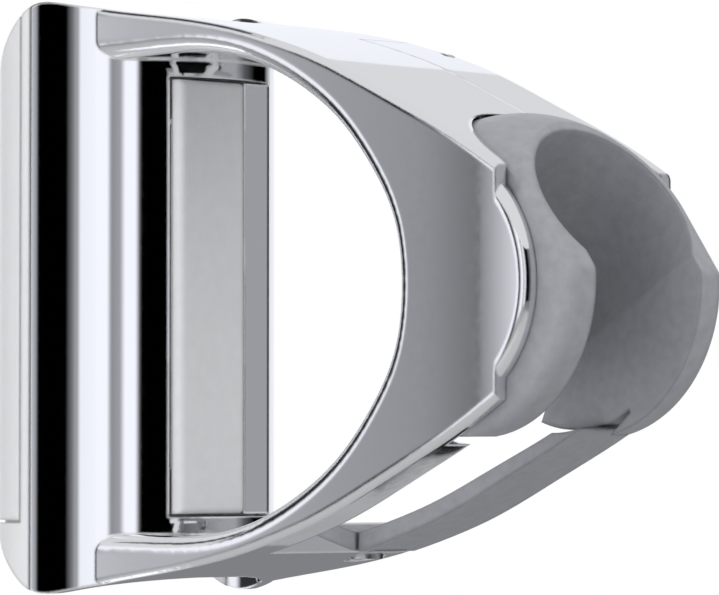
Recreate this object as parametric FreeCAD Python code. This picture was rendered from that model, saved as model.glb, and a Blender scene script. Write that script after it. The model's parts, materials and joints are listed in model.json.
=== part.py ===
"""Sliding hand-shower holder for a round shower rail.

Millimetres. The rail runs along +Z through the origin, at mid-height of the sleeve. +X points to the user.
"""
import FreeCAD
import Part
import math
import os

V = FreeCAD.Vector

# rail and sleeve
RAIL_R = 11.0
RAIL_GAP = 0.10
SLEEVE_R = 16.7
SLEEVE_WALL = 1.5
SLEEVE_SPLIT_X = -0.4
SLEEVE_END = 35.2
LIP_TOP = 33.4
END_LIP_GAP = 0.7

# clearances
FIT_GAP = 0.10
MOVE_GAP = 0.35
PART_LINE = 0.25

# body: a D seen from the side, with straight sides
HALF_WIDTH = 14.2
STRIP_Y = 5.0
STRIP_START_X = 33.5
EDGE_ROUND = 0.8
HOLE_ROUND = 2.2
NOSE_ROUND = 1.3
WEB = 2.2
CHEEK = 1.7
LOWER_CHEEK_Y = -9.0
WEB_FLOOR_Z = -7.0

OUTER_TOP = [(-16.9, 19.5), (-12.5, 25.8), (-8.0, 30.0), (-4.0, 33.0), (0.5, SLEEVE_END), (6.0, 34.8),
             (12.0, 33.8), (20.0, 32.7), (32.0, 30.6), (40.0, 28.5), (47.0, 26.2), (58.5, 21.2), (66.4, 17.6),
             (75.0, 12.9)]
HOLE_TOP = [(8.0, 28.2), (18.0, 28.3), (26.9, 28.0), (35.4, 26.2), (43.0, 22.9), (49.0, 18.9),
            (54.5, 13.1), (57.9, 7.6), (59.2, 0.6)]

# tilting holder clip
PIVOT_X = 65.5
PIVOT_Z = 0.0
NOSE_R = 14.2
KNUCKLE_R = 19.5
KNUCKLE_SIDE_R = 15.4
KNUCKLE_STEP = 0.5
DRUM_X = 67.6
DRUM_Z = 0.2
DRUM_R = 17.2
CLIP_TILT = 54.0
CLIP_RANGE = 12.0
CLIP_STEPS = 2
MOUTH_X = 79.5
MOUTH_Z = 8.6
MOUTH_R = 10.7
CONE_SLOPE = 0.055
CLIP_HALF = HALF_WIDTH - CHEEK - FIT_GAP
CLIP_ROUND = 1.4
CLIP_LENGTH = 60.0
SLOT_WIDTH = 17.0
JAW_FLOOR_Z = -16.9
TRUNNION_R = 2.6
TRUNNION_H = 1.0
RING_R_IN = 3.4
RING_R_OUT = 4.8
RING_H = 0.9

# lower bow
BOW_THICK = 2.2
BOW_END_X = 70.5
BOW_TIP_R = 16.4
BOW_TONGUE = 7.0
TONGUE_LOW_Z = -30.1
TONGUE_HIGH_Z = -29.0

# release bar and brake
BAR_HALF_WIDTH = 7.5
BAR_HALF_HEIGHT = 25.8
BAR_FACE_X = 16.4
BAR_SPLIT_Y = 2.5
PAD_THICK = 1.7
CARRIER_BACK_X = 12.7
CARRIER_HALF_HEIGHT = 20.5
PRESS = 1.2
YOKE_LOW_Z = 13.0
YOKE_HIGH_Z = 19.0
YOKE_MOUTH = 4.0
SHOE_ANGLE = 42.0
BRAKE_RUBBER = 1.0
SHOE_THICK = 1.0
LEAF_THICK = 0.3
LEAF_WIDTH = 6.0
LEAF_HALF = 5.5
LEAF_Z = 6.4

# bushes
BUSH_LOW = 21.5
BUSH_HIGH = 28.0

# rear frame and cover panel
PANEL_EDGE_X = -2.6
PANEL_DEPTH = 0.75
PANEL_LOW_Z = -26.6
PANEL_GROOVE = 0.35

# screws and dowels
DOWEL_R = 0.45
DOWEL_HALF = 1.6
DOWEL_Z = 16.0
SCREW_R = 1.25
SCREW_HEAD_R = 2.3
SCREW_HEAD = 1.0


def save(shape, node):
    """Write one solid as its own file."""
    solids = shape.removeSplitter().Solids
    solids.sort(key=lambda solid: solid.Volume)
    solids[-1].exportStep("parts/" + node + ".step")


def mirror_z(points):
    """The same outline below the middle plane, in reverse order."""
    return [(x, -z) for x, z in reversed(points)]


def cylinder(radius, start, end):
    """A round bar between two points."""
    along = V(*end) - V(*start)
    return Part.makeCylinder(radius, along.Length, V(*start), along)


def box(x0, x1, y0, y1, z0, z1):
    """A box between two corners."""
    return Part.makeBox(x1 - x0, y1 - y0, z1 - z0, V(x0, y0, z0))


def side_prism(wires, y0, y1):
    """A side outline drawn across the width."""
    face = Part.Face(Part.Wire(wires))
    return face.extrude(V(0, y1 - y0, 0)).translated(V(0, y0, 0))


def spline(points):
    """A smooth side curve through the points."""
    curve = Part.BSplineCurve()
    curve.interpolate([V(x, 0, z) for x, z in points])
    return curve.toShape()


def line(first, second):
    """A straight side line."""
    return Part.makeLine(V(first[0], 0, first[1]), V(second[0], 0, second[1]))


def offset_outline(points, distance, centre=(24.0, 0.0)):
    """Move outline points away from a centre by a distance."""
    moved = []
    for x, z in points:
        away = math.hypot(x - centre[0], z - centre[1])
        moved.append((x + (x - centre[0]) / away * distance, z + (z - centre[1]) / away * distance))
    return moved


def outline_prism(inset, y0, y1):
    """The body's outer side shape, drawn in by an inset. It stops at the nose circle's middle."""
    top = offset_outline(OUTER_TOP, -inset)
    bottom = mirror_z(top)
    return side_prism([spline(top), line(top[-1], bottom[0]), spline(bottom), line(bottom[-1], top[0])], y0, y1)


def hole_prism(grow, y0, y1):
    """The finger opening, drawn out by a wall thickness."""
    top = offset_outline(HOLE_TOP, grow)
    points = top[:-1] + [(top[-1][0], 0.0)] + mirror_z(top[:-1])
    return side_prism([spline(points), line(points[-1], points[0])], y0, y1)


def disc(radius, y0, y1):
    """A round slab about the tilt axis."""
    return cylinder(radius, (PIVOT_X, y0, PIVOT_Z), (PIVOT_X, y1, PIVOT_Z))


def nose(y0, y1, rim):
    """The cheeks' round front, with a rounded rim on the chosen sides."""
    slab = disc(NOSE_R, y0, y1)
    edges = [edge for edge in slab.Edges if round(edge.CenterOfMass.y, 3) in rim and edge.Length > NOSE_R * 6]
    return slab.makeFillet(NOSE_ROUND, edges)


def tube(outer, inner, z0, z1):
    """A ring about the rail."""
    return cylinder(outer, (0, 0, z0), (0, 0, z1)).cut(cylinder(inner, (0, 0, z0 - 1), (0, 0, z1 + 1)))


def sleeve_inner():
    """The space inside the sleeve: wide in the middle, with a lip at each end."""
    radius = SLEEVE_R - SLEEVE_WALL
    wide = cylinder(radius, (0, 0, -BUSH_HIGH - FIT_GAP), (0, 0, BUSH_HIGH + FIT_GAP))
    lip = cylinder(RAIL_R + END_LIP_GAP, (0, 0, -2 * SLEEVE_END), (0, 0, 2 * SLEEVE_END))
    ends = [cylinder(radius, (0, 0, side * LIP_TOP), (0, 0, side * 2 * SLEEVE_END)) for side in (-1, 1)]
    return wide.multiFuse([lip] + ends)


def round_edges(shape, edges, radius):
    """Round the chosen edges."""
    return shape.makeFillet(radius, edges) if edges else shape


def long_side_edges(shape, near_middle):
    """The long curved edges on both sides: of the finger opening, or else of the outer outline."""
    chosen = []
    for edge in shape.Edges:
        box_of = edge.BoundBox
        flat = box_of.YMax - box_of.YMin < 1e-4 and abs(abs(box_of.YMax) - HALF_WIDTH) < 1e-4
        is_hole = abs(edge.CenterOfMass.z) < 5
        if flat and edge.Length > 60 and is_hole == near_middle:
            chosen.append(edge)
    return chosen


def d_body():
    """The full D around the finger opening, rounded along the opening and the outline."""
    slab = outline_prism(0.0, -HALF_WIDTH, HALF_WIDTH)
    slab = slab.fuse(nose(-HALF_WIDTH, HALF_WIDTH, (-HALF_WIDTH, HALF_WIDTH))).removeSplitter()
    ring = slab.cut(hole_prism(0.0, -2 * HALF_WIDTH, 2 * HALF_WIDTH)).removeSplitter().Solids[0]
    ring = ring.makeFillet(HOLE_ROUND, long_side_edges(ring, True)).Solids[0]
    ring = ring.makeFillet(EDGE_ROUND, long_side_edges(ring, False)).Solids[0]
    core = cylinder(SLEEVE_R - SLEEVE_WALL / 2, (0, 0, -2 * SLEEVE_END), (0, 0, 2 * SLEEVE_END))
    return ring.common(box(SLEEVE_SPLIT_X, 200, -60, 60, -60, 60)).cut(core)


def sleeve_front():
    """The chrome half of the sleeve."""
    pipe = cylinder(SLEEVE_R, (0, 0, -2 * SLEEVE_END), (0, 0, 2 * SLEEVE_END))
    pipe = pipe.common(outline_prism(0.0, -2 * SLEEVE_R, 2 * SLEEVE_R))
    return pipe.common(box(SLEEVE_SPLIT_X, 2 * SLEEVE_R, -2 * SLEEVE_R, 2 * SLEEVE_R, -60, 60))


def bar_slot(gap):
    """The slot in the sleeve front for the release bar."""
    return box(5, 24, -BAR_HALF_WIDTH - gap, BAR_HALF_WIDTH + gap, -BAR_HALF_HEIGHT - gap, BAR_HALF_HEIGHT + gap)


def clip_chamber():
    """The room in the nose for the clip: between the cheeks, in front of the web, clear of the clip's whole tilt."""
    wide = HALF_WIDTH - CHEEK
    room = disc(NOSE_R + 1, -wide, wide)
    room = room.fuse(drum(2 * MOVE_GAP, wide).common(box(0, 200, -60, 60, -60, PIVOT_Z)))
    between = box(0, 200, -wide, wide, -60, 60)
    for step in range(-CLIP_STEPS, CLIP_STEPS + 1):
        swept = clip_outer(MOVE_GAP).common(between)
        swept.rotate(V(PIVOT_X, 0, PIVOT_Z), V(0, 1, 0), CLIP_RANGE * step / CLIP_STEPS)
        room = room.fuse(swept)
    return room.cut(hole_prism(WEB, -2 * wide, 2 * wide))


def hose_gap():
    """The open way below the web, between the near cheek and the bow."""
    return box(STRIP_START_X, 120, LOWER_CHEEK_Y, 60, -60, WEB_FLOOR_Z)


def trunnion_seats():
    """Blind seats in the cheeks for the trunnions and the friction rings."""
    inner = HALF_WIDTH - CHEEK
    seats = []
    for side in (-1, 1):
        seats.append(disc(TRUNNION_R + FIT_GAP / 2, side * (inner - 1), side * (inner + TRUNNION_H)))
        ring = disc(RING_R_OUT + FIT_GAP, side * inner, side * (inner + RING_H))
        seats.append(ring.cut(disc(RING_R_IN - FIT_GAP, side * (inner - 1), side * (inner + 2 * RING_H))))
    return seats[0].multiFuse(seats[1:])


def screw(start, end, head_end):
    """A plain screw with a round head and a hexagon socket. The head stands at head_end."""
    along = V(*head_end) - V(*end)
    along.normalize()
    head = Part.makeCylinder(SCREW_HEAD_R, SCREW_HEAD, V(*end), along)
    socket = Part.makeCylinder(SCREW_R * 0.75, SCREW_HEAD * 0.6, V(*end) + along * (SCREW_HEAD * 0.4 + 0.01), along)
    return cylinder(SCREW_R, start, end).fuse(head).cut(socket)


def screw_room(start, end, head_end, depth):
    """The hole for a screw and its head, cut in a shell."""
    along = V(*head_end) - V(*end)
    along.normalize()
    hole = cylinder(SCREW_R, start, end)
    return hole.fuse(Part.makeCylinder(SCREW_HEAD_R + FIT_GAP, SCREW_HEAD + depth, V(*end), along))


def cover_screws():
    """Two screws that hold the far cover, set from the far side. Start, seat and head direction."""
    places = [(40.0, 26.2), (54.0, 17.7)]
    seat = HALF_WIDTH - SCREW_HEAD - 0.6
    return [((x, -4.0, z), (x, seat, z), (x, 60.0, z)) for x, z in places]


def bow_screw():
    """One screw that holds the bow's tongue, set from below."""
    x = STRIP_START_X - BOW_TONGUE / 2
    y = (STRIP_Y + HALF_WIDTH) / 2
    return ((x, y, TONGUE_HIGH_Z + 0.8), (x, y, TONGUE_LOW_Z), (x, y, -60.0))


def bow_tongue(gap):
    """The bow's tongue inside the root."""
    side = 2.0 - gap
    return box(STRIP_START_X - BOW_TONGUE - gap, STRIP_START_X + 1, STRIP_Y + side, HALF_WIDTH - side,
               TONGUE_LOW_Z - gap, TONGUE_HIGH_Z + gap)


def dowels():
    """Four dowels that line up the two halves of the sleeve."""
    middle = SLEEVE_R - SLEEVE_WALL / 2 - 0.15
    places = []
    for z in (-DOWEL_Z, DOWEL_Z):
        for side in (-1, 1):
            places.append(((SLEEVE_SPLIT_X - DOWEL_HALF, side * middle, z), (SLEEVE_SPLIT_X + DOWEL_HALF, side * middle, z)))
    return places


def make_body_shell():
    """The chrome body in one piece: sleeve front, arms, nose web and near cheek."""
    body = d_body().fuse(sleeve_front().cut(sleeve_inner())).removeSplitter()
    body = body.cut(bar_slot(MOVE_GAP))
    body = body.cut(clip_chamber())
    body = body.cut(hose_gap())
    body = body.cut(box(STRIP_START_X, 200, STRIP_Y, 60, -60, 60))
    body = body.cut(bow_tongue(FIT_GAP)).cut(trunnion_seats()).cut(screw_room(*bow_screw(), 4.0))
    for place in cover_screws():
        body = body.cut(cylinder(SCREW_R, place[0], place[1]))
    for place in dowels():
        body = body.cut(cylinder(DOWEL_R, *place))
    return body


def make_far_cover():
    """The far side: top strip, web behind the clip and far cheek."""
    cover = d_body().common(box(STRIP_START_X + PART_LINE, 200, STRIP_Y + PART_LINE, 60, WEB_FLOOR_Z, 60))
    cheek = nose(HALF_WIDTH - CHEEK, HALF_WIDTH, (HALF_WIDTH,))
    cheek = cheek.common(box(PIVOT_X - 6, 200, -60, 60, -60, 60)).cut(hole_prism(WEB / 2, -60, 60))
    cover = cover.fuse(cheek).cut(clip_chamber()).cut(trunnion_seats())
    for place in cover_screws():
        cover = cover.cut(screw_room(place[0], place[1], place[2], 4.0))
    return cover


def make_bow():
    """The satin bow below the clip, with a tongue in the body's root."""
    band = outline_prism(0.0, STRIP_Y, HALF_WIDTH).cut(outline_prism(BOW_THICK, STRIP_Y - 1, HALF_WIDTH + 1))
    bow = band.common(box(STRIP_START_X + PART_LINE, BOW_END_X, STRIP_Y, HALF_WIDTH, -60, 0))
    bow = bow.cut(disc(BOW_TIP_R, -60, 60)).fuse(bow_tongue(0.0))
    start, seat, head = bow_screw()
    return bow.cut(cylinder(SCREW_R, start, seat))


def cone_axis():
    """The clip's axis, pointing out of its mouth."""
    angle = math.radians(CLIP_TILT)
    return V(math.sin(angle), 0, math.cos(angle))


def cone_normal():
    """The direction from the cone's axis to its closed upper side."""
    angle = math.radians(CLIP_TILT)
    return V(-math.cos(angle), 0, math.sin(angle))


def mouth_frame():
    """The mouth's own frame: along the cone's axis, across, and towards its closed side."""
    axis = cone_axis()
    normal = cone_normal()
    return FreeCAD.Placement(FreeCAD.Matrix(axis.x, 0, normal.x, MOUTH_X, 0, 1, 0, 0,
                                            axis.z, 0, normal.z, MOUTH_Z, 0, 0, 0, 1))


def drum(grow, half):
    """The clip's round front, seen from the side."""
    return cylinder(DRUM_R + grow, (DRUM_X, -half, DRUM_Z), (DRUM_X, half, DRUM_Z))


def knuckle(grow):
    """The clip's barrel about the tilt axis, which runs in under the ribbon's end."""
    half = CLIP_HALF - KNUCKLE_STEP + grow
    side = PIVOT_X + KNUCKLE_SIDE_R + grow
    crown = Part.BSplineCurve()
    crown.interpolate([V(side, -half, PIVOT_Z), V(PIVOT_X + KNUCKLE_R + grow, 0, PIVOT_Z), V(side, half, PIVOT_Z)])
    low = V(PIVOT_X, -half, PIVOT_Z)
    high = V(PIVOT_X, half, PIVOT_Z)
    edges = [crown.toShape(), Part.makeLine(V(side, half, PIVOT_Z), high), Part.makeLine(high, low),
             Part.makeLine(low, V(side, -half, PIVOT_Z))]
    return Part.Face(Part.Wire(edges)).revolve(low, V(0, 1, 0), 360)


def clip_blocks(grow):
    """The two halves of space behind the mouth plane: above and below the cone's axis."""
    half = CLIP_HALF + grow
    above = Part.makeBox(CLIP_LENGTH, 2 * half, CLIP_LENGTH, V(grow - CLIP_LENGTH, -half, 0))
    below = Part.makeBox(CLIP_LENGTH, 2 * half, CLIP_LENGTH, V(grow - CLIP_LENGTH, -half, -CLIP_LENGTH))
    for block in (above, below):
        block.Placement = mouth_frame().multiply(block.Placement)
    return above, below


def clip_cup(grow):
    """The clip's cup: a round back above, straight jaws with a round front below."""
    axis = cone_axis()
    mouth = V(MOUTH_X, 0, MOUTH_Z) + axis * grow
    back = Part.makeCylinder(CLIP_HALF + grow, CLIP_LENGTH, mouth - axis * CLIP_LENGTH, axis)
    above, below = clip_blocks(grow)
    jaws = below.common(drum(grow, CLIP_HALF + grow))
    cup = back.common(above).common(box(DRUM_X - DRUM_R, 200, -60, 60, -60, 60)).fuse(jaws).removeSplitter()
    return cup.common(box(0, 200, -60, 60, JAW_FLOOR_Z - grow, 60)).removeSplitter()


def clip_barrel(grow):
    """The knuckle, cut off at the mouth plane and the jaws' floor."""
    above, below = clip_blocks(grow)
    barrel = knuckle(grow).common(above.fuse(below))
    return barrel.common(box(0, 200, -60, 60, JAW_FLOOR_Z - grow, 60))


def clip_outer(grow):
    """The clip's outside."""
    return clip_cup(grow).fuse(clip_barrel(grow)).removeSplitter()


def cone_bore():
    """The conical seat, open at both ends."""
    mouth = V(MOUTH_X, 0, MOUTH_Z)
    axis = cone_axis()
    low = MOUTH_R - CONE_SLOPE * 40
    high = MOUTH_R + CONE_SLOPE * 5
    return Part.makeCone(low, high, 45, mouth - axis * 40, axis)


def clip_slot():
    """The slot that lets the hose in, facing forwards and down."""
    slot = Part.makeBox(90, SLOT_WIDTH, 60, V(-60, -SLOT_WIDTH / 2, -60))
    slot.Placement = mouth_frame().multiply(slot.Placement)
    return slot


def soften(shape, radius):
    """Round the outer edges in front of the tilt axis."""
    edges = [edge for edge in shape.Edges
             if edge.valueAt((edge.FirstParameter + edge.LastParameter) / 2).x > DRUM_X - 0.5]
    return shape.makeFillet(radius, edges)


def cut_swept(shape, blocker):
    """Cut a shape clear of something fixed, over the clip's whole range of tilt."""
    for step in range(-CLIP_STEPS, CLIP_STEPS + 1):
        moved = blocker.copy()
        moved.rotate(V(PIVOT_X, 0, PIVOT_Z), V(0, 1, 0), CLIP_RANGE * step / CLIP_STEPS)
        shape = shape.cut(moved)
    return shape


def make_clip():
    """The holder clip: a drum with a conical seat, turning on two trunnions between the cheeks."""
    clip = soften(clip_cup(0.0), CLIP_ROUND).fuse(clip_barrel(0.0))
    clip = clip.cut(cone_bore()).cut(clip_slot())
    inner = CLIP_HALF
    clip = cut_swept(clip, hole_prism(WEB + MOVE_GAP, -60, 60))
    bow = outline_prism(-MOVE_GAP, STRIP_Y - MOVE_GAP, 60).cut(disc(BOW_TIP_R - MOVE_GAP, -60, 60))
    clip = cut_swept(clip, bow.common(box(0, BOW_END_X + MOVE_GAP, -60, 60, -60, PIVOT_Z - 5)))
    for side in (-1, 1):
        boss = disc(TRUNNION_R, side * (inner - 1.0), side * (HALF_WIDTH - CHEEK + TRUNNION_H - FIT_GAP))
        clip = clip.fuse(boss.cut(cone_bore()))
    return clip.removeSplitter()


def make_friction_ring(side):
    """A friction ring between a cheek and the clip's flank."""
    inner = HALF_WIDTH - CHEEK
    ring = disc(RING_R_OUT, side * inner, side * (inner + RING_H - FIT_GAP))
    return ring.cut(disc(RING_R_IN, -60, 60))


def rear_solid(inset):
    """The wall-side half of the sleeve, drawn in by an inset."""
    pipe = cylinder(SLEEVE_R - inset, (0, 0, -60), (0, 0, 60)).common(outline_prism(inset, -60, 60))
    return pipe.common(box(-60, SLEEVE_SPLIT_X - PART_LINE, -60, 60, -60, 60))


def panel_zone(gap):
    """The area of the rear cover panel."""
    return box(-60, PANEL_EDGE_X + gap, -60, 60, PANEL_LOW_Z - gap, 60)


def make_rear_frame():
    """The grey wall-side half, recessed for the cover panel."""
    frame = rear_solid(0.0).cut(sleeve_inner())
    recess = panel_zone(PANEL_GROOVE).cut(rear_solid(PANEL_DEPTH))
    frame = frame.cut(recess)
    for place in dowels():
        frame = frame.cut(cylinder(DOWEL_R, *place))
    return frame


def make_rear_panel():
    """The thin cover panel on the wall side."""
    return rear_solid(0.0).cut(rear_solid(PANEL_DEPTH)).common(panel_zone(0.0)).cut(sleeve_inner())


def make_bush(side):
    """A guide bush at one end of the sleeve, trimmed to the rounded rear."""
    bush = tube(SLEEVE_R - SLEEVE_WALL - FIT_GAP, RAIL_R + RAIL_GAP, *sorted((side * BUSH_LOW, side * BUSH_HIGH)))
    flat_x = BAR_FACE_X - PAD_THICK - PRESS - MOVE_GAP
    side_y = BAR_HALF_WIDTH + MOVE_GAP
    bush = bush.cut(box(flat_x, 60, -side_y, side_y, -BAR_HALF_HEIGHT - MOVE_GAP, BAR_HALF_HEIGHT + MOVE_GAP))
    return bush.common(outline_prism(SLEEVE_WALL + FIT_GAP, -60, 60))


def make_carrier():
    """The bar's carrier: a plate behind the pad, with the bright strip beside it."""
    plate = box(CARRIER_BACK_X, BAR_FACE_X - PAD_THICK, -BAR_HALF_WIDTH, BAR_HALF_WIDTH,
                -CARRIER_HALF_HEIGHT, CARRIER_HALF_HEIGHT)
    strip = box(BAR_FACE_X - PAD_THICK, BAR_FACE_X - 0.1, BAR_SPLIT_Y + PART_LINE, BAR_HALF_WIDTH,
                -BAR_HALF_HEIGHT, BAR_HALF_HEIGHT)
    carrier = plate.fuse(strip).removeSplitter()
    corner = [e for e in carrier.Edges if e.CenterOfMass.x > BAR_FACE_X - 0.2
              and (abs(e.CenterOfMass.y - BAR_HALF_WIDTH) < 0.1)]
    return round_edges(carrier, corner, 1.1)


def make_pad():
    """The satin pad that the thumb presses."""
    pad = box(BAR_FACE_X - PAD_THICK, BAR_FACE_X, -BAR_HALF_WIDTH, BAR_SPLIT_Y, -BAR_HALF_HEIGHT, BAR_HALF_HEIGHT)
    corner = [e for e in pad.Edges if e.CenterOfMass.x > BAR_FACE_X - 0.1 and e.CenterOfMass.y < BAR_SPLIT_Y - 1]
    return round_edges(pad, corner, 0.7)


def yoke_zone():
    """The room in which a yoke can be pressed back without touching the rail or the sleeve."""
    inner = RAIL_R + MOVE_GAP
    outer = SLEEVE_R - SLEEVE_WALL - MOVE_GAP
    zone = cylinder(outer, (0, 0, -60), (0, 0, 60)).common(cylinder(outer, (PRESS, 0, -60), (PRESS, 0, 60)))
    return zone.cut(cylinder(inner, (0, 0, -61), (0, 0, 61))).cut(cylinder(inner, (PRESS, 0, -61), (PRESS, 0, 61)))


def shoe_zone():
    """The wedge at the back of the rail where the shoe sits."""
    reach = 40.0
    half = reach * math.tan(math.radians(SHOE_ANGLE))
    corners = [V(0, 0, -60), V(-reach, -half, -60), V(-reach, half, -60), V(0, 0, -60)]
    return Part.Face(Part.makePolygon(corners)).extrude(V(0, 0, 120))


def make_yoke(side):
    """One ring that carries the press from the bar round the rail to the shoe."""
    low, high = sorted((side * YOKE_LOW_Z, side * YOKE_HIGH_Z))
    ring = yoke_zone().common(box(-60, CARRIER_BACK_X, -60, 60, low, high))
    return ring.cut(box(0, 60, -YOKE_MOUTH, YOKE_MOUTH, low, high))


def make_shoe():
    """The stiff back of the brake, between the two yokes."""
    inner = RAIL_R + BRAKE_RUBBER
    ring = tube(inner + SHOE_THICK, inner, -YOKE_LOW_Z, YOKE_LOW_Z)
    return ring.common(shoe_zone())


def make_rubber():
    """The rubber brake pad that grips the rail."""
    ring = tube(RAIL_R + BRAKE_RUBBER, RAIL_R + RAIL_GAP, -YOKE_LOW_Z + 0.5, YOKE_LOW_Z - 0.5)
    return ring.common(shoe_zone())


def make_leaf(side):
    """A bowed leaf spring between the rear frame and the shoe."""
    back = FIT_GAP - math.sqrt((SLEEVE_R - SLEEVE_WALL) ** 2 - (LEAF_WIDTH / 2) ** 2)
    front = -(RAIL_R + BRAKE_RUBBER + SHOE_THICK)
    middle = side * LEAF_Z
    foot = 2 * LEAF_THICK
    outer = Part.Arc(V(front, 0, middle - LEAF_HALF), V(back, 0, middle), V(front, 0, middle + LEAF_HALF))
    inner = Part.Arc(V(front, 0, middle - LEAF_HALF + foot), V(back + LEAF_THICK, 0, middle),
                     V(front, 0, middle + LEAF_HALF - foot))
    feet = [line((front, middle - LEAF_HALF), (front, middle - LEAF_HALF + foot)),
            line((front, middle + LEAF_HALF), (front, middle + LEAF_HALF - foot))]
    face = Part.Face(Part.Wire(Part.__sortEdges__([outer.toShape(), inner.toShape()] + feet)))
    return face.extrude(V(0, LEAF_WIDTH, 0)).translated(V(0, -LEAF_WIDTH / 2, 0))


def main():
    """Build and write every piece."""
    os.makedirs("parts", exist_ok=True)
    save(make_body_shell(), "body_shell")
    save(make_far_cover(), "far_cover")
    save(make_bow(), "bow")
    save(make_clip(), "holder_clip")
    save(make_rear_frame(), "rear_frame")
    save(make_rear_panel(), "rear_panel")
    save(make_carrier(), "bar_carrier")
    save(make_pad(), "bar_pad")
    save(make_shoe(), "brake_shoe")
    save(make_rubber(), "brake_rubber")
    for side, name in ((1, "upper"), (-1, "lower")):
        save(make_bush(side), name + "_bush")
        save(make_yoke(side), name + "_yoke")
        save(make_leaf(side), name + "_leaf_spring")
    for side, name in ((-1, "near"), (1, "far")):
        save(make_friction_ring(side), name + "_friction_ring")
    save(screw(*bow_screw()), "bow_screw")
    for place, name in zip(cover_screws(), ("cover_screw_rear", "cover_screw_front")):
        save(screw(*place), name)
    for place, name in zip(dowels(), ("near_lower", "far_lower", "near_upper", "far_upper")):
        save(cylinder(DOWEL_R, *place), "sleeve_dowel_" + name)


main()
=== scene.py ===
"""Looks for the shower rail slider: chrome, satin grey plastic, rubber and steel, and a white studio.

Lengths in the scene are metres. The angles of cards and lamps are degrees from the camera's direction,
anticlockwise when seen from above.
"""
import json
import math

import bpy
from mathutils import Matrix, Vector

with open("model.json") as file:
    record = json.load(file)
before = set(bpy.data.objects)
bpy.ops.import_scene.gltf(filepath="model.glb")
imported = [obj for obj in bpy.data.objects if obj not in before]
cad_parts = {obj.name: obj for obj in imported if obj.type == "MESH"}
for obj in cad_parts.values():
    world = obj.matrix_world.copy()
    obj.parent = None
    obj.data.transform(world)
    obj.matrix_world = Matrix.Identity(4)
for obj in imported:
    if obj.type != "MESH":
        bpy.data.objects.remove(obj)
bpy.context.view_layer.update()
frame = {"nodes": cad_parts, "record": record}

# the camera, fitted to the photograph: millimetres, degrees and pixels
AZIMUTH = 46.0
ELEVATION = -2.0
DISTANCE = 600.0
PIXELS_PER_MM = 8.2
AXIS_PIXEL = (137.0, 301.0)
PICTURE = (719, 595)
MM_PER_M = 1000
SENSOR_WIDTH = 36.0
FARTHEST = 20.0

# the render
SAMPLES = 128
SEED = 7

# the photograph's greys are slightly cool
COOL = (0.985, 1.0, 1.07)
PLAIN = (1.0, 1.0, 1.0)

# materials: where a noise starts and stops changing a value, noise scales, and depths and radii
NOISE_LOW = 0.3
NOISE_HIGH = 0.7
NOISE_DETAIL = 3.0
GRAIN_DEPTH = 0.0001
BEVEL_SAMPLES = 6
PLASTIC_EDGE = 0.0008
CHROME_EDGE = 0.0005
CHROME_COLOUR = (0.95, 0.955, 0.965, 1.0)
CHROME_NOISE = 900.0
CHROME_ROUGH = (0.03, 0.06)
STEEL_COLOUR = (0.62, 0.62, 0.63, 1.0)
STEEL_NOISE = 1500.0
STEEL_ROUGH = (0.22, 0.38)
RUBBER_NOISE = 500.0
RUBBER_SHADE = (0.012, 0.022)
RUBBER_ROUGH = 0.85
RUBBER_GRAIN = 3000.0
RUBBER_GRAIN_STRENGTH = 0.3
MOTTLE_NOISE = 700.0
PLASTIC_NOISE = 400.0
# moulded plastics by slot: name, shade, mottle, roughness from and to, grain scale, grain strength
# and tint
PLASTICS = {
    "satin": ("satin_grey", 0.34, 0.07, 0.34, 0.44, 2600.0, 0.25, COOL),
    "pad": ("satin_pad", 0.87, 0.02, 0.34, 0.44, 3200.0, 0.25, PLAIN),
    "pale": ("pale_shell", 0.86, 0.01, 0.30, 0.38, 2000.0, 0.04, PLAIN),
    "white_acetal": ("white_acetal", 0.75, 0.02, 0.30, 0.36, 1500.0, 0.08, PLAIN),
}

# what the chrome sees round the horizon: degrees from the camera's direction, and brightness
ROOM = [(-180, 0.93), (-158, 0.95), (-150, 0.03), (-112, 0.03), (-104, 0.90), (-96.4, 0.92),
        (-95.2, 0.48), (-93, 0.45), (-91.5, 0.34), (-89.5, 0.28), (-88.3, 0.0), (-59.0, 0.0),
        (-53.0, 0.18), (-47.5, 0.50), (-42, 0.80), (-36, 0.97), (-22.5, 0.97), (-19, 0.27), (-11, 0.36),
        (-7, 0.97), (2, 0.97), (6, 0.0), (34, 0.0), (42, 0.12), (80, 0.34), (93, 0.34), (104, 0.10),
        (118, 0.0), (138, 0.0), (155, 0.85), (180, 0.92)]
RING_RADIUS = 2.5
RING_HALF_HEIGHT = 1.2
RING_STEPS = 180
WORLD_COLOUR = (0.97, 0.98, 1.0, 1)
WORLD_STRENGTH = 0.72
WHITE = (1, 1, 1, 1)

# the floor: height, shade in reflections, shade to the camera, and roughness
FLOOR_Z = -0.6
FLOOR_SHADE = 0.50
FLOOR_SHADE_TO_CAMERA = 0.86
FLOOR_ROUGH = 0.7

# the card beside the nose, in metres: to the left of the rail, and from the rail towards the camera
NEAR_CARD_ASIDE = -0.060
NEAR_CARD_START = 0.0612
NEAR_CARD_END = 0.101
NEAR_CARD_HALF_HEIGHT = 0.050
NEAR_CARD_FADE = [(0.0, 0.24), (0.18, 0.90), (1.0, 0.95)]

# flat cards: angle, height, distance, size and brightness
FLAT_CARDS = {
    "low_card": (-136.0, -0.50, 0.55, 0.45, 1.2),
    "dark_flag": (-136.0, 0.90, 0.95, 0.75, 0.05),
    "grey_flag": (178.0, -0.25, 0.90, 0.26, 0.22),
    "black_flag": (162.0, -0.517, 0.65, 0.095, 0.01),
}

# soft lamps: angle, height, distance, size and power in watts, and the point that they are aimed at
LAMPS = {
    "key_lamp": (-80.0, 0.6, 1.2, 1.5, 9.5),
    "fill_lamp": (55.0, 0.5, 1.2, 1.8, 11.0),
    "low_lamp": (-30.0, -0.50, 1.2, 1.0, 5.5),
}
LAMP_AIM = Vector((0.04, 0, 0))


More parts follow.
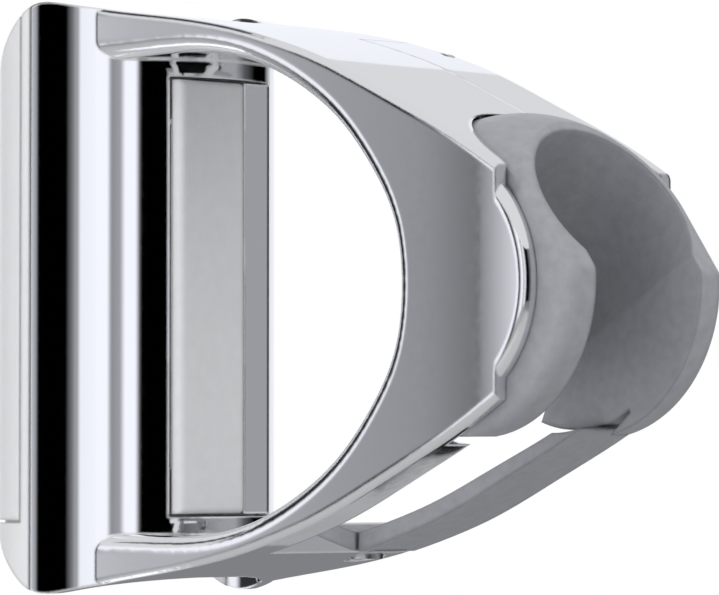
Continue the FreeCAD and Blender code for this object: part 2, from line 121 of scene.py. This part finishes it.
def at_angle(angle, distance, height):
    """A point at an angle from the camera's direction, a distance from the rail and a height."""
    a = math.radians(AZIMUTH + angle)
    return Vector((math.sin(a) * distance, -math.cos(a) * distance, height))


def to_the_right():
    """The level direction that points to the right in the picture."""
    a = math.radians(AZIMUTH)
    return Vector((math.cos(a), math.sin(a), 0.0))


def add_object(name, data):
    """Put a mesh, a camera or a light in the scene."""
    thing = bpy.data.objects.new(name, data)
    bpy.context.collection.objects.link(thing)
    return thing


def add_mesh(name, points, faces, material):
    """Put a mesh of one material in the scene."""
    mesh = bpy.data.meshes.new(name)
    mesh.from_pydata(points, [], faces)
    mesh.materials.append(material)
    return add_object(name, mesh)


def place_camera():
    """Put the camera where the photograph was taken from."""
    a = math.radians(AZIMUTH)
    e = math.radians(ELEVATION)
    toward = Vector((math.sin(a) * math.cos(e), -math.cos(a) * math.cos(e), math.sin(e)))
    right = to_the_right()
    up = toward.cross(right)
    aside = (PICTURE[0] / 2 - AXIS_PIXEL[0]) / PIXELS_PER_MM
    above = (AXIS_PIXEL[1] - PICTURE[1] / 2) / PIXELS_PER_MM
    eye = (toward * DISTANCE + right * aside + up * above) / MM_PER_M
    data = bpy.data.cameras.new("camera")
    data.sensor_width = SENSOR_WIDTH
    data.lens = PIXELS_PER_MM * DISTANCE / PICTURE[0] * SENSOR_WIDTH
    data.clip_end = FARTHEST
    camera = add_object("camera", data)
    turn = Matrix((right, up, toward)).transposed().to_4x4()
    camera.matrix_world = Matrix.Translation(eye) @ turn
    bpy.context.scene.camera = camera


def new_material(name):
    """A new node material with a Principled shader."""
    material = bpy.data.materials.new(name)
    material.use_nodes = True
    tree = material.node_tree
    shader = tree.nodes["Principled BSDF"]
    return material, tree, shader


def glow_material(name):
    """A new node material with an Emission shader."""
    material = bpy.data.materials.new(name)
    material.use_nodes = True
    tree = material.node_tree
    tree.nodes.clear()
    glow = tree.nodes.new("ShaderNodeEmission")
    out = tree.nodes.new("ShaderNodeOutputMaterial")
    tree.links.new(glow.outputs["Emission"], out.inputs["Surface"])
    return material, tree, glow


def noise(tree, scale):
    """Noise in the object's own coordinates."""
    where = tree.nodes.new("ShaderNodeTexCoord")
    texture = tree.nodes.new("ShaderNodeTexNoise")
    texture.inputs["Scale"].default_value = scale
    texture.inputs["Detail"].default_value = NOISE_DETAIL
    tree.links.new(where.outputs["Object"], texture.inputs["Vector"])
    return texture.outputs["Fac"]


def ramp(tree, value, stops, tint=PLAIN):
    """A colour ramp with grey stops, or tinted ones."""
    node = tree.nodes.new("ShaderNodeValToRGB")
    node.color_ramp.elements[0].position = stops[0][0]
    node.color_ramp.elements[1].position = stops[-1][0]
    for place, _ in stops[1:-1]:
        node.color_ramp.elements.new(place)
    for element, (_, shade) in zip(node.color_ramp.elements, stops):
        element.color = (shade * tint[0], shade * tint[1], shade * tint[2], 1.0)
    tree.links.new(value, node.inputs["Fac"])
    return node.outputs["Color"]


def noise_ramp(tree, scale, low, high, tint=PLAIN):
    """A value or a colour that a noise moves between two shades."""
    return ramp(tree, noise(tree, scale), [(NOISE_LOW, low), (NOISE_HIGH, high)], tint)


def soft_edge(tree, radius):
    """A normal that is slightly rounded over at the edges."""
    node = tree.nodes.new("ShaderNodeBevel")
    node.samples = BEVEL_SAMPLES
    node.inputs["Radius"].default_value = radius
    return node.outputs["Normal"]


def grained(tree, shader, scale, strength):
    """A fine moulded grain on the surface."""
    node = tree.nodes.new("ShaderNodeBump")
    node.inputs["Strength"].default_value = strength
    node.inputs["Distance"].default_value = GRAIN_DEPTH
    tree.links.new(noise(tree, scale), node.inputs["Height"])
    tree.links.new(soft_edge(tree, PLASTIC_EDGE), node.inputs["Normal"])
    tree.links.new(node.outputs["Normal"], shader.inputs["Normal"])


def chrome():
    """Bright chrome plate, with a polish that varies faintly."""
    material, tree, shader = new_material("chrome_plate")
    shader.inputs["Metallic"].default_value = 1.0
    shader.inputs["Base Color"].default_value = CHROME_COLOUR
    tree.links.new(noise_ramp(tree, CHROME_NOISE, *CHROME_ROUGH), shader.inputs["Roughness"])
    tree.links.new(soft_edge(tree, CHROME_EDGE), shader.inputs["Normal"])
    return material


def plastic(name, shade, mottle, rough_low, rough_high, grain, strength, tint):
    """Moulded plastic with a fine spark-eroded grain."""
    material, tree, shader = new_material(name)
    colour = noise_ramp(tree, MOTTLE_NOISE, shade * (1 - mottle), shade * (1 + mottle), tint)
    tree.links.new(colour, shader.inputs["Base Color"])
    tree.links.new(noise_ramp(tree, PLASTIC_NOISE, rough_low, rough_high), shader.inputs["Roughness"])
    grained(tree, shader, grain, strength)
    return material


def rubber():
    """Matt black rubber."""
    material, tree, shader = new_material("brake_rubber_black")
    tree.links.new(noise_ramp(tree, RUBBER_NOISE, *RUBBER_SHADE), shader.inputs["Base Color"])
    shader.inputs["Roughness"].default_value = RUBBER_ROUGH
    grained(tree, shader, RUBBER_GRAIN, RUBBER_GRAIN_STRENGTH)
    return material


def steel():
    """Plain bright steel."""
    material, tree, shader = new_material("bright_steel")
    shader.inputs["Metallic"].default_value = 1.0
    shader.inputs["Base Color"].default_value = STEEL_COLOUR
    tree.links.new(noise_ramp(tree, STEEL_NOISE, *STEEL_ROUGH), shader.inputs["Roughness"])
    return material


def dress(node, material):
    """Give a CAD node a material."""
    mesh = frame["nodes"][node].data
    mesh.materials.clear()
    mesh.materials.append(material)


def dress_all():
    """Materials for every CAD node, by its record slot."""
    kinds = {"chrome": chrome(), "rubber": rubber(), "steel": steel()}
    for slot, values in PLASTICS.items():
        kinds[slot] = plastic(*values)
    for part in frame["record"]["subparts"]:
        dress(part["node"], kinds[part["material_slot"]])


def calculate(tree, operation, first, second=None):
    """A Math node. Each input is a socket or a number."""
    node = tree.nodes.new("ShaderNodeMath")
    node.operation = operation
    for place, value in enumerate((first, second)):
        if isinstance(value, (int, float)):
            node.inputs[place].default_value = value
        elif value is not None:
            tree.links.new(value, node.inputs[place])
    return node.outputs[0]


def room_ring():
    """The studio wall: a ring round the object, with dark and bright bands round it."""
    points = []
    for i in range(RING_STEPS):
        a = 2 * math.pi * i / RING_STEPS
        for z in (-RING_HALF_HEIGHT, RING_HALF_HEIGHT):
            points.append((RING_RADIUS * math.sin(a), -RING_RADIUS * math.cos(a), z))
    count = len(points)
    faces = [(i, i + 1, (i + 3) % count, (i + 2) % count) for i in range(0, count, 2)]
    material, tree, glow = glow_material("studio_wall")
    where = tree.nodes.new("ShaderNodeTexCoord")
    split = tree.nodes.new("ShaderNodeSeparateXYZ")
    tree.links.new(where.outputs["Object"], split.inputs[0])
    back = calculate(tree, "MULTIPLY", split.outputs["Y"], -1.0)
    angle = calculate(tree, "ARCTAN2", split.outputs["X"], back)
    turned = calculate(tree, "SUBTRACT", angle, math.radians(AZIMUTH) - math.pi)
    share = calculate(tree, "FRACT", calculate(tree, "DIVIDE", turned, 2 * math.pi))
    shade = ramp(tree, share, [((degrees + 180) / 360, level) for degrees, level in ROOM], COOL)
    tree.links.new(shade, glow.inputs["Color"])
    ring = add_mesh("studio_wall", points, faces, material)
    ring.visible_camera = False


def near_card():
    """A bright card just beside the nose, fading in towards it, which lights up the cheek's front."""
    toward = at_angle(0.0, 1.0, 0.0)
    points = []
    for along in (NEAR_CARD_START, NEAR_CARD_END):
        for z in (-NEAR_CARD_HALF_HEIGHT, NEAR_CARD_HALF_HEIGHT):
            points.append(to_the_right() * NEAR_CARD_ASIDE + toward * along + Vector((0, 0, z)))
    material, tree, glow = glow_material("near_card")
    where = tree.nodes.new("ShaderNodeTexCoord")
    along = tree.nodes.new("ShaderNodeVectorMath")
    along.operation = "DOT_PRODUCT"
    along.inputs[1].default_value = toward
    tree.links.new(where.outputs["Object"], along.inputs[0])
    share = tree.nodes.new("ShaderNodeMapRange")
    share.inputs["From Min"].default_value = NEAR_CARD_START
    share.inputs["From Max"].default_value = NEAR_CARD_END
    tree.links.new(along.outputs["Value"], share.inputs["Value"])
    tree.links.new(ramp(tree, share.outputs["Result"], NEAR_CARD_FADE, COOL), glow.inputs["Color"])
    card = add_mesh("near_card", points, [(0, 1, 3, 2)], material)
    card.visible_camera = False


def flat_card(name, angle, height, distance, size, brightness):
    """A square card that faces the object, bright or dark."""
    middle = at_angle(angle, distance, height)
    away = middle.normalized()
    side = Vector((0, 0, 1)).cross(away).normalized() * size / 2
    rise = away.cross(side)
    corners = [middle - side - rise, middle + side - rise, middle + side + rise, middle - side + rise]
    material, tree, glow = glow_material(name)
    glow.inputs["Color"].default_value = (*(brightness * part for part in COOL), 1)
    card = add_mesh(name, corners, [(0, 1, 2, 3)], material)
    card.visible_camera = False


def floor():
    """A plain pale floor well below the object."""
    half = RING_RADIUS
    corners = [(-half, -half, FLOOR_Z), (half, -half, FLOOR_Z),
               (half, half, FLOOR_Z), (-half, half, FLOOR_Z)]
    material, tree, shader = new_material("floor_pale")
    path = tree.nodes.new("ShaderNodeLightPath")
    stops = [(0.0, FLOOR_SHADE), (1.0, FLOOR_SHADE_TO_CAMERA)]
    tree.links.new(ramp(tree, path.outputs["Is Camera Ray"], stops), shader.inputs["Base Color"])
    shader.inputs["Roughness"].default_value = FLOOR_ROUGH
    plane = add_mesh("floor", corners, [(0, 1, 2, 3)], material)


def background(tree, colour, strength):
    """A Background shader."""
    node = tree.nodes.new("ShaderNodeBackground")
    node.inputs["Color"].default_value = colour
    node.inputs["Strength"].default_value = strength
    return node.outputs["Background"]


def backdrop():
    """White to the camera, and a pale ceiling to everything else."""
    world = bpy.data.worlds.new("studio")
    world.use_nodes = True
    bpy.context.scene.world = world
    tree = world.node_tree
    tree.nodes.clear()
    path = tree.nodes.new("ShaderNodeLightPath")
    mix = tree.nodes.new("ShaderNodeMixShader")
    out = tree.nodes.new("ShaderNodeOutputWorld")
    tree.links.new(path.outputs["Is Camera Ray"], mix.inputs["Fac"])
    tree.links.new(background(tree, WORLD_COLOUR, WORLD_STRENGTH), mix.inputs[1])
    tree.links.new(background(tree, WHITE, 1.0), mix.inputs[2])
    tree.links.new(mix.outputs["Shader"], out.inputs["Surface"])


def lamp(name, angle, height, distance, size, power):
    """A soft square lamp aimed at the object, which the chrome doesn't reflect."""
    data = bpy.data.lights.new(name, "AREA")
    data.size = size
    data.energy = power
    lamp_object = add_object(name, data)
    eye = at_angle(angle, distance, height)
    away = (eye - LAMP_AIM).normalized()
    side = Vector((0, 0, 1)).cross(away).normalized()
    turn = Matrix((side, away.cross(side), away)).transposed().to_4x4()
    lamp_object.matrix_world = Matrix.Translation(eye) @ turn
    lamp_object.visible_glossy = False


def studio():
    """The backdrop, the wall, the floor, the cards and the lamps."""
    backdrop()
    room_ring()
    floor()
    near_card()
    for name, values in FLAT_CARDS.items():
        flat_card(name, *values)
    for name, values in LAMPS.items():
        lamp(name, *values)


def settings():
    """Render settings."""
    scene = bpy.context.scene
    scene.render.engine = "CYCLES"
    scene.cycles.samples = SAMPLES
    scene.cycles.use_denoising = True
    scene.cycles.seed = SEED
    scene.view_settings.view_transform = "Standard"
    scene.render.resolution_x = PICTURE[0]
    scene.render.resolution_y = PICTURE[1]


place_camera()
dress_all()
studio()
settings()
